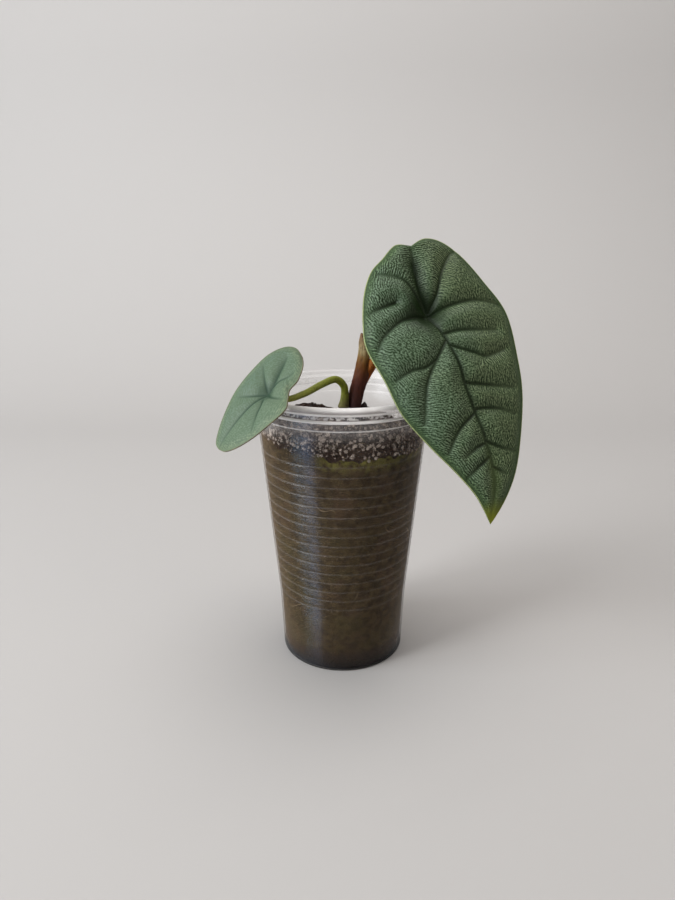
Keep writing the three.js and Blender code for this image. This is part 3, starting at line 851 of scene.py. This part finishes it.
def makeSkin(name, settings):
    # colours change along the stalk, under fine lengthwise flecks
    material, tree, shader = newMaterial(name, settings["roughness"], Specular_IOR_Level=0.14)
    place = objectPlace(tree)
    wander = times(tree, doMath(tree, "SUBTRACT", pattern(tree, place, 260.0), 0.5), 0.16)
    along = doMath(tree, "ADD", measure(tree, "along"), wander)
    colours = addNode(tree, "ShaderNodeValToRGB", {"Fac": along})
    elements = colours.color_ramp.elements
    first, *between, last = settings["skin"]
    for element, (position, colour) in zip(elements, (first, last)):
        element.position = position
        element.color = (*colour, 1)
    for position, colour in between:
        elements.new(position).color = (*colour, 1)
    stretch = addNode(tree, "ShaderNodeMapping", {"Vector": place, "Scale": (1.0, 1.0, 0.3)})
    stretch = stretch.outputs["Vector"]
    marks = ramp(tree, pattern(tree, stretch, 1500.0, detail=2.0), 0.54, 0.66, 0, settings["flecks"])
    colour = mixColours(tree, marks, colours.outputs["Color"], (0.02, 0.012, 0.01))
    feed(shader, "Base Color", colour)
    bumpInto(tree, shader, pattern(tree, stretch, 1900.0), 0.12 * mm, 0.5)
    return material


def makeCorm():
    # a stub of stem ringed by old leaf scars, with the dry feet of lost leaves round it
    material = mottledMaterial("cormSkin", corm["mottle"], 0.65, bump=(0.35 * mm, 0.8))
    radius, top, depth = corm["radius"], corm["top"], corm["depth"]
    profile = [(0, top - depth), (radius * 0.55, top - depth + 0.8), (radius * 0.9, top - depth + 4.5),
               (radius, top - depth + 10), (radius * 0.98, top - 6)]
    for ring in range(corm["scars"]):
        z = top - 5.2 + ring * 1.35
        profile += [(radius * (0.9 - 0.02 * ring), z), (radius * (0.97 - 0.03 * ring), z + 0.75)]
    profile += [(radius * 0.8, top - 0.1), (radius * 0.5, top), (0, top)]
    bm = spinProfile([(r, z, 0) for r, z in profile], 48)
    for vertex in bm.verts:
        vertex.co *= 1 + 0.004 * noise.noise(vertex.co * 900)
    bmesh.ops.translate(bm, verts=bm.verts, vec=(corm["x"] * mm, corm["y"] * mm, 0))
    for x, y, z, tall, wide, lean in corm["stubs"]:
        stub = bmesh.ops.create_icosphere(bm, subdivisions=3, radius=mm)["verts"]
        for vertex in stub:
            vertex.co *= 1 + 0.25 * noise.noise(vertex.co * 1500 + Vector((x, y, z)))
        bmesh.ops.scale(bm, verts=stub, vec=(wide, wide, tall / 2))
        bmesh.ops.rotate(bm, verts=stub, cent=(0, 0, 0), matrix=Matrix.Rotation(math.radians(lean), 3, "Y"))
        bmesh.ops.translate(bm, verts=stub, vec=(x * mm, y * mm, z * mm))
    addPiece("corm_stub", bm, [material], ["corm"])


makeCorm()
addPiece("large_petiole", stalkShape(petiole), [makeSkin("petioleSkin", petiole)],
         ["petiole_large"])
addPiece("small_petiole", stalkShape(youngPetiole), [makeSkin("youngPetioleSkin", youngPetiole)],
         ["petiole_small"])
sheathPiece = addPiece("petiole_sheath", sheathShape(), [makeSkin("sheathSkin", sheath)],
                       ["sheath"])
wall = sheathPiece.modifiers.new("wall", "SOLIDIFY")
wall.thickness = sheath["wall"] * mm
wall.offset = -1
print("corm and stalks are grown")

# blades: u runs across and v towards the tip, in millimetres from the top of the petiole

largeBlade = {
    "hub": (31.86, -26, 150.43),
    "facing": (0.2059, -0.8825, 0.4229), "towardsTip": (0.3148, -0.3495, -0.8825),
    "right": [(2.6, -27), (9.4, -29), (15.8, -26.2), (21.4, -18.7), (26.2, -7.2), (30.7, 6.5),
              (29, 24), (26.4, 37.3), (20.4, 53), (14.8, 64.3), (8, 72.6), (0, 79.4)],
    "left": [(2.6, -27), (-3, -28.8), (-9.6, -24.9), (-15.5, -21), (-20.8, -13.3), (-24.8, -3),
             (-26.4, 6), (-24, 19), (-21.8, 32), (-15.6, 45.4), (-8.6, 57.6), (-3.3, 68), (0, 79.4)],
    "midrib": [(2.6, -27), (0, -18), (0, 0), (2.2, 10), (3.5, 20), (3.4, 32), (5.2, 49), (5.2, 62),
               (0, 79.4)],
    "veins": [
        [(0, 0), (0, -14), (1.6, -25)],
        [(0.8, -1), (4.9, -6), (9.3, -13.4), (15.3, -19.5), (19, -21.4)],
        [(-0.5, -1), (-2, -8.2), (-5.6, -15), (-13.5, -19.3)],
        [(-1.4, 0.4), (-6.9, -0.3), (-12.3, 0.1), (-19.6, 4), (-23, 8)],
        [(-11, -7.4), (-16, -6.8), (-21, -6)],
        [(1, 0.3), (8.7, -1.2), (19.5, -0.7), (28.6, 3.1)],
        [(2, 8.6), (9, 8.8), (22.8, 12.1)],
        [(2.8, 13.2), (10.8, 17.9), (15.7, 20.5), (24, 19.7)],
        [(3.4, 27.7), (12.8, 30.9), (22.7, 34.2)],
        [(3.6, 39.2), (5.9, 38), (14.1, 40.1), (20, 43.5)],
        [(5.2, 49.8), (11.4, 54), (16, 56.4)],
        [(5.5, 59.5), (10, 63.1)],
        [(2.4, 10.8), (-3.7, 16.6), (-10.6, 25), (-15.2, 37.6)],
        [(-3.8, 16.8), (-8.5, 18.5), (-14, 18.3), (-20.2, 20.1)],
        [(3.6, 39.2), (-4, 43.4), (-9.6, 50)],
        [(5.2, 50.6), (1, 51.1), (-3.5, 53)],
        [(5.4, 55.8), (0, 57.8), (-5.2, 60.6)],
    ],
    "thickness": 0.9, "wall": 0.6, "rows": 430, "columns": 190,
    "sideFall": 0.2, "foldWidth": 8, "archRadius": 190, "archCentre": 12,
    "quilt": 2.1, "veinWidth": 3.2, "hubDip": 2.6, "hubRadius": 7.5, "shadeAside": 1.9,
    "crease": 0.5, "creaseWidth": 0.9, "puff": 0.75, "backVein": 0.45, "sinusDepth": 2.1, "sinusWidth": 3.6,
    "wrinkle": 0.3, "pitch": 0.78, "stretch": 2.0, "drift": 0.75, "border": 1.8, "smoothSide": 5.2,
}

smallBlade = {
    "hub": (-27.45, -36, 123.05),
    "facing": (-0.5436, -0.5232, 0.6563), "towardsTip": (-0.6865, -0.1728, -0.7063),
    "right": [(-1.5, -18.4), (2, -16.8), (5.4, -14.2), (8.3, -10.8), (9.2, -7), (12.6, -4.4), (16.4, -1),
              (15.4, 7), (13.4, 13.4), (9.6, 19.8), (4.6, 24.8), (0, 26.6)],
    "left": [(-1.5, -18.4), (-7.4, -19.3), (-12, -16.8), (-14.7, -10.8), (-14.6, -3), (-13.2, 7),
             (-10.2, 15), (-6.6, 22), (-3.4, 26), (0, 26.6)],
    "midrib": [(-1.5, -18.4), (-1.2, -8), (0, 0), (-0.8, 5.2), (-1, 15), (0, 26.6)],
    "veins": [
        [(0, 0), (-1.2, -5.2), (-3.1, -9.2), (-6.1, -14.4)],
        [(-0.3, -3.6), (0.6, -6.4), (2.8, -9.4), (3.4, -12)],
        [(0, 0), (-4, 4.3), (-8.5, 7.9)],
        [(0, 0), (-6.7, -3.6), (-11, -6)],
        [(0, 0), (5, -0.6), (11, -3)],
        [(1, 2.6), (3.6, 4.5), (5.7, 7.2), (10.2, 12.1)],
    ],
    "thickness": 0.8, "wall": 0.5, "rows": 180, "columns": 120,
    "sideFall": -0.1, "foldWidth": 4, "archRadius": 120, "archCentre": 5,
    "quilt": 0.85, "veinWidth": 2.4, "hubDip": 1.2, "hubRadius": 3.2, "shadeAside": 0.3,
    "crease": 0.2, "creaseWidth": 0.7, "puff": 0.4, "backVein": 0.35, "sinusDepth": 0.4, "sinusWidth": 2,
    "wrinkle": 0.05, "pitch": 0.8, "stretch": 1.6, "drift": 0.75, "border": 1.2, "smoothSide": 1.2,
}


surface = {  # shared by both blades
    "veinHalf": 1.1,  # half the width of a vein on the underside
    "taper": 0.55,  # how much weaker a vein is at its end
    "veinDip": 0.95, "veinDipLoss": 0.45,  # the quilting is pulled down at each vein
    "ridges": 0.72, "pebbles": 0.5, "driftLength": 2.4, "ridgeLength": 1.1,
}


def veinTree(points):
    # a search tree of points every quarter of a millimetre along a vein, and the points' headings
    rough = smoothLine(points, 40)
    length = sum((b - a).length for a, b in zip(rough, rough[1:]))
    line = smoothLine(points, max(4, round(length * 4)))
    headings = [(b - a).normalized() for a, b in zip(line, line[1:])]
    return searchTree(line), length, headings + headings[-1:]


def nearVeins(trees, place):
    # distance, millimetres along, share along and number of each vein, nearest first
    found = []
    for number, (tree, length, headings) in enumerate(trees):
        point, index, distance = tree.find(place)
        share = index / (len(headings) - 1)
        found.append((distance, length * share + (place - point).dot(headings[index]), share, number))
    return sorted(found)


def wrinkleAt(blade, place, near):
    # narrow ridges run out from each vein, and cross those of the next vein half way
    waves = []
    for distance, along, _, number in near[:2]:
        spot = Vector((along, distance, number * 7.3))
        drift = noise.noise(spot / surface["driftLength"]) + 0.35 * noise.noise(spot / 0.9)
        spot = Vector((along / surface["ridgeLength"], distance / blade["stretch"], number * 3.1))
        strength = 0.8 + 0.9 * noise.noise(spot)
        waves.append(math.sin(math.tau * (along / blade["pitch"] + blade["drift"] * drift)) * strength)
    first, second = near[0][0], near[1][0]
    blend = 0.5 * smoothStep(first / (first + second + 0.001), 0.2, 0.5)
    wave = waves[0] * (1 - blend) + waves[1] * blend
    pebble = 2 * noise.noise(Vector((place.x, place.y, 31)) / (0.62 * blade["pitch"]))
    raised = surface["ridges"] * wave + surface["pebbles"] * pebble
    return min(max(0.5 + 0.5 * raised, 0), 1)


def bladeShape(blade):
    left, right = smoothLine(blade["left"], 500), smoothLine(blade["right"], 500)
    spine = smoothLine(blade["midrib"], 500)
    trees = [veinTree(blade["midrib"][2:])] + [veinTree(vein) for vein in blade["veins"]]
    outline = searchTree(left + right)
    facing, towardsTip = Vector(blade["facing"]).normalized(), Vector(blade["towardsTip"]).normalized()
    across = facing.cross(towardsTip)
    bm = bmesh.new()
    names = ("veinDistance", "veinShare", "wrinkle", "edgeDistance", "hub", "reach", "spine", "across")
    layers = [bm.verts.layers.float.new(name) for name in names]

    def shapeVertex(vertex, isTop):
        t, share = (vertex.co.y + 1) / 2, (vertex.co.x + 1) / 2
        side = left if share < 0.5 else right
        out = abs(2 * share - 1)
        middle, outer = pointAt(spine, t ** 1.5), pointAt(side, t)
        place = middle.lerp(outer, out)
        u, v = place.x, place.y
        near = nearVeins(trees, place)
        quilt = blade["quilt"]
        for distance, _, along, _ in near:
            dip = surface["veinDip"] - surface["veinDipLoss"] * along
            quilt *= 1 - dip * hump(distance, blade["veinWidth"])
        inward = (1 - out) * (outer - middle).length
        quilt *= 1 - hump(inward, blade["veinWidth"])
        fold = blade["sideFall"] * (math.hypot(u, blade["foldWidth"]) - blade["foldWidth"])
        arch = ((v - blade["archCentre"]) ** 2 - blade["archCentre"] ** 2) / (2 * blade["archRadius"])
        inHub = math.exp(-(u * u + v * v) / (2 * blade["hubRadius"] ** 2))
        # the shade in the hub lies deepest on its upper left
        aside = blade["shadeAside"]
        shade = math.exp(-((u + aside) ** 2 + (v + aside) ** 2) / (2 * blade["hubRadius"] ** 2))
        distance, _, along, _ = near[0]
        taper = 1 - surface["taper"] * along
        rise = 1 - math.exp(-distance / surface["veinHalf"])
        edge = outline.find(place)[2]
        # the valley between the two lobes at the base
        sinus = hump(trees[1][0].find(place)[2], blade["sinusWidth"]) * smoothStep(edge, 1, 9)
        height = quilt - fold - arch - blade["hubDip"] * inHub - blade["sinusDepth"] * sinus
        # wrinkles die out towards the margin, over a wider strip on the lower right
        lower = smoothStep(share, 0.5, 0.8) * smoothStep(v, -12, 20)
        border = blade["border"] + (blade["smoothSide"] - blade["border"]) * lower
        calm = smoothStep(distance, 0.2, 1.0) * smoothStep(edge, 0.5, border) * (1 - 0.8 * inHub ** 2)
        wrinkle = wrinkleAt(blade, place, near) if isTop else 0.5
        if isTop:  # creases along the veins, cushions between them, and the wrinkles on those
            height += blade["thickness"] / 2 + blade["wrinkle"] * (wrinkle - 0.5) * calm
            height += blade["puff"] * taper * rise * smoothStep(edge, 0, 2.5)
            height -= blade["crease"] * taper * hump(distance, blade["creaseWidth"])
        else:  # veins stand out below
            height += blade["thickness"] / 2 - blade["wall"]
            vein = hump(distance, surface["veinHalf"]) * smoothStep(edge, 0, 2)
            height -= blade["backVein"] * taper * vein
        shown = wrinkle * calm + 0.5 * (1 - calm)
        toSpine = trees[0][0].find(place)[2]
        # the hub layer holds the painted shade in the hub and in the valley between the lobes
        values = (distance / 10, along, shown, edge / 10, max(shade, 0.75 * sinus), v / 100, toSpine / 10,
                  u / 60 + 0.5)
        for layer, value in zip(layers, values):
            vertex[layer] = value
        vertex.co = (Vector(blade["hub"]) + across * u + towardsTip * v + facing * height) * mm

    for isTop, rows, columns in ((True, blade["rows"], blade["columns"]),
                                 (False, blade["rows"] // 3, blade["columns"] // 3)):
        before = set(bm.faces)
        made = bmesh.ops.create_grid(bm, x_segments=columns, y_segments=rows, size=1)["verts"]
        for vertex in made:
            shapeVertex(vertex, isTop)
        bmesh.ops.remove_doubles(bm, verts=made, dist=sameSpot)
        sheet = [face for face in bm.faces if face not in before]
        for face in sheet:
            face.material_index = 0 if isTop else 1
        if isTop:
            bmesh.ops.reverse_faces(bm, faces=sheet)
    rims = [edge for edge in bm.edges if edge.is_boundary]
    for face in bmesh.ops.bridge_loops(bm, edges=rims)["faces"]:
        face.material_index = 2
    return bm


def makeFace(name, look):
    material, tree, shader = newMaterial(name, look["roughness"], Specular_IOR_Level=look["gloss"])
    place = objectPlace(tree)
    edge, reach = measure(tree, "edgeDistance"), measure(tree, "reach")
    fine = pattern(tree, place, 1700.0, detail=2.0)
    # bluer to the left, a painted sheen from the windows on that side, greener to the right and along the
    # margin
    broad = doMath(tree, "SUBTRACT", pattern(tree, place, 45.0, detail=2.0), measure(tree, "across"))
    top = mixColours(tree, ramp(tree, broad, -0.35, 0.35), look["top"], look["sheenBlue"])
    top = mixColours(tree, ramp(tree, edge, 0.05, 0.35, look["marginDepth"], 0), top, look["margin"])
    # the wrinkle ridges are painted lighter and the gaps between them darker: painted highlight and painted
    # shade over the leaf's green
    raised = times(tree, doMath(tree, "SUBTRACT", fine, 0.5), 0.5)
    raised = doMath(tree, "ADD", measure(tree, "wrinkle"), raised)
    colour = mixColours(tree, ramp(tree, raised, 0.24, 0.92), look["gap"], top)
    taper = ramp(tree, measure(tree, "veinShare"), 0.3, 1.0, 1, 0.35)
    # the vein creases are darkened: painted shade over a darker green
    veinShade = ramp(tree, measure(tree, "veinDistance"), *look["veinShadeReach"], look["veinDepth"], 0)
    # the hub and the valley between the lobes are darkened: painted shade over a darker green
    inHub = ramp(tree, measure(tree, "hub"), 0.2, 0.95, 0, look["hubShadeDepth"])
    onSpine = ramp(tree, measure(tree, "spine"), 0.04, 0.35, 0.55, 0)
    onSpine = times(tree, onSpine, ramp(tree, reach, 0.45, 0.68))
    onRim = ramp(tree, edge, *look["rimReach"], 0.85, 0)
    atTip = ramp(tree, reach, *look["tipReach"])
    for mask, tint in ((times(tree, veinShade, taper), "vein"), (inHub, "vein"), (onSpine, "spine"),
                       (onRim, "rim"), (atTip, "tip")):
        colour = mixColours(tree, mask, colour, look[tint])
    feed(shader, "Base Color", colour)
    satin = ramp(tree, raised, 0.1, 0.9, look["roughness"] + 0.15, look["roughness"])
    feed(shader, "Roughness", satin)
    bumpInto(tree, shader, fine, 0.1 * mm, look["fineBump"])
    return material


def makeBack(name, look):
    material, tree, shader = newMaterial(name, 0.6)
    tone = addMottle(tree, *look["back"], 120.0, 1300.0, 0.25)
    veins = ramp(tree, measure(tree, "veinDistance"), 0.03, 0.12, 0.8, 0)
    colour = mixColours(tree, veins, tone.outputs["Color"], look["backVein"])
    feed(shader, "Base Color", colour)
    bumpInto(tree, shader, tone.outputs["Height"], 0.1 * mm, 0.4)
    return material


def makeBlade(name, blade, look, node):
    rim = mottledMaterial(name + "Rim", (look["rim"], look["rimDark"], 300.0, 1200.0, 0.2), 0.5)
    materials = [makeFace(name + "Face", look), makeBack(name + "Back", look), rim]
    addPiece(name, bladeShape(blade), materials, [node])


# in both looks the ridge and gap tones are painted highlight and painted shade, the bluer tone is a painted
# sheen, and the vein tone is painted shade over a darker green
largeLook = {
    "top": (0.168, 0.216, 0.108), "sheenBlue": (0.148, 0.215, 0.134), "gap": (0.017, 0.034, 0.011),
    "margin": (0.07, 0.125, 0.036), "marginDepth": 0.75,
    "vein": (0.006, 0.016, 0.002), "veinShadeReach": (0.01, 0.11), "veinDepth": 0.85, "hubShadeDepth": 0.97,
    "spine": (0.075, 0.105, 0.03),
    "rim": (0.32, 0.36, 0.15), "rimDark": (0.16, 0.2, 0.07), "rimReach": (0.01, 0.035),
    "tip": (0.16, 0.175, 0.008), "tipReach": (0.7, 0.79),
    "roughness": 0.42, "gloss": 0.2, "fineBump": 0.4,
    "back": ((0.2, 0.23, 0.15), (0.13, 0.15, 0.09)), "backVein": (0.12, 0.06, 0.05),
}

smallLook = {
    "top": (0.138, 0.184, 0.118), "sheenBlue": (0.1, 0.15, 0.11), "gap": (0.085, 0.124, 0.076),
    "margin": (0.19, 0.23, 0.125), "marginDepth": 0.65,
    "vein": (0.018, 0.042, 0.024), "veinShadeReach": (0.0, 0.085), "veinDepth": 0.85, "hubShadeDepth": 0.6,
    "spine": (0.09, 0.13, 0.08),
    "rim": (0.2, 0.17, 0.09), "rimDark": (0.11, 0.09, 0.05), "rimReach": (0.0, 0.02),
    "tip": (0.17, 0.21, 0.12), "tipReach": (0.25, 0.29),
    "roughness": 0.45, "gloss": 0.2, "fineBump": 0.25,
    "back": ((0.24, 0.28, 0.2), (0.17, 0.2, 0.13)), "backVein": (0.12, 0.12, 0.07),
}

makeBlade("large_blade", largeBlade, largeLook, "blade_large")
print("large blade is quilted")
makeBlade("small_blade", smallBlade, smallLook, "blade_small")
print("small blade is set")
